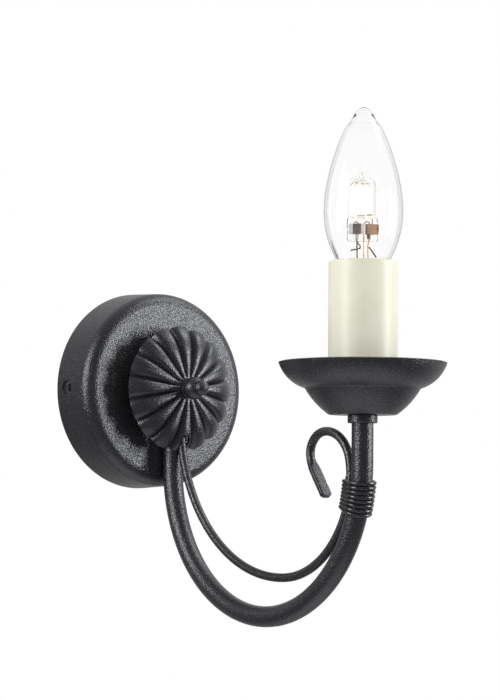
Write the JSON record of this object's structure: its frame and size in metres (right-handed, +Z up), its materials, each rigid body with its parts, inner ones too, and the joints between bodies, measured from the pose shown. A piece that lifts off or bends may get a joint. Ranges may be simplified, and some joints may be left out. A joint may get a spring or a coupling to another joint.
{
  "type": "wall lamp",
  "caption": "Candle wall lamp: round back plate with a petalled rosette, U-shaped tube arm bound to a scrolled rod, drip pan, ivory candle sleeve and candle lamp.",
  "frame": {"origin": "on the wall, at the centre of the cable entry hole in the bracket, behind the centre of the round back plate", "axes": "+Z up, -Y out from the wall towards the candle, +X to the right as one faces the wall"},
  "size_m": [0.096, 0.2055, 0.2304],
  "materials": {
    "charcoal_coat": "fine sand-textured powder coat, satin",
    "zinc_steel": "zinc plated",
    "brass": "plain",
    "terminal_plastic": "satin",
    "grommet_rubber": "matt",
    "holder_plastic": "satin",
    "candle_card": "smooth ivory, satin",
    "cap_aluminium": "bright",
    "cap_glass": "black vitrite",
    "clear_glass": "clear",
    "capsule_glass": "clear, glowing from inside",
    "filament_metal": "glowing",
    "lead_metal": "plain",
    "live_insulation": "satin",
    "neutral_insulation": "satin",
    "earth_insulation": "satin"
  },
  "bodies": {
    "fixture": {"back_plate": "charcoal_coat", "arm_tube": "charcoal_coat", "rosette": "charcoal_coat", "finial": "charcoal_coat", "scroll_rod": "charcoal_coat", "binding_wire": "charcoal_coat", "pan_collar": "charcoal_coat", "drip_pan": "charcoal_coat", "cover_screws": "charcoal_coat", "wall_bracket": "zinc_steel", "block_screw": "zinc_steel", "fixing_stud": "zinc_steel", "stud_nut": "zinc_steel", "stud_washer": "zinc_steel", "stud_spacer": "zinc_steel", "pan_washer": "zinc_steel", "pan_nut": "zinc_steel", "holder_nipple": "zinc_steel", "terminal_clamps": "brass", "terminal_screws": "brass", "earth_screw": "brass", "earth_ring": "brass", "centre_contact": "brass", "side_contact": "brass", "terminal_block": "terminal_plastic", "wire_grommet": "grommet_rubber", "lampholder_cup": "holder_plastic", "lampholder_barrel": "holder_plastic", "contact_block": "holder_plastic", "live_wire": "live_insulation", "neutral_wire": "neutral_insulation", "earth_wire": "earth_insulation"},
    "sleeve": {"candle_sleeve": "candle_card"},
    "lamp": {"lamp_cap": "cap_aluminium", "cap_insulator": "cap_glass", "cap_contact": "cap_aluminium", "lamp_glass": "clear_glass", "glass_stem": "clear_glass", "halogen_capsule": "capsule_glass", "filament": "filament_metal", "support_wires": "lead_metal"}
  },
  "joints": [
    {"name": "sleeve_lift", "type": "slide", "parent": "fixture", "child": "sleeve", "axis": [0, 0, 1], "range_m": [0, 0.07]},
    {"name": "lamp_out", "type": "slide", "parent": "sleeve", "child": "lamp", "axis": [0, 0, 1], "range_m": [0, 0.04]}
  ]
}
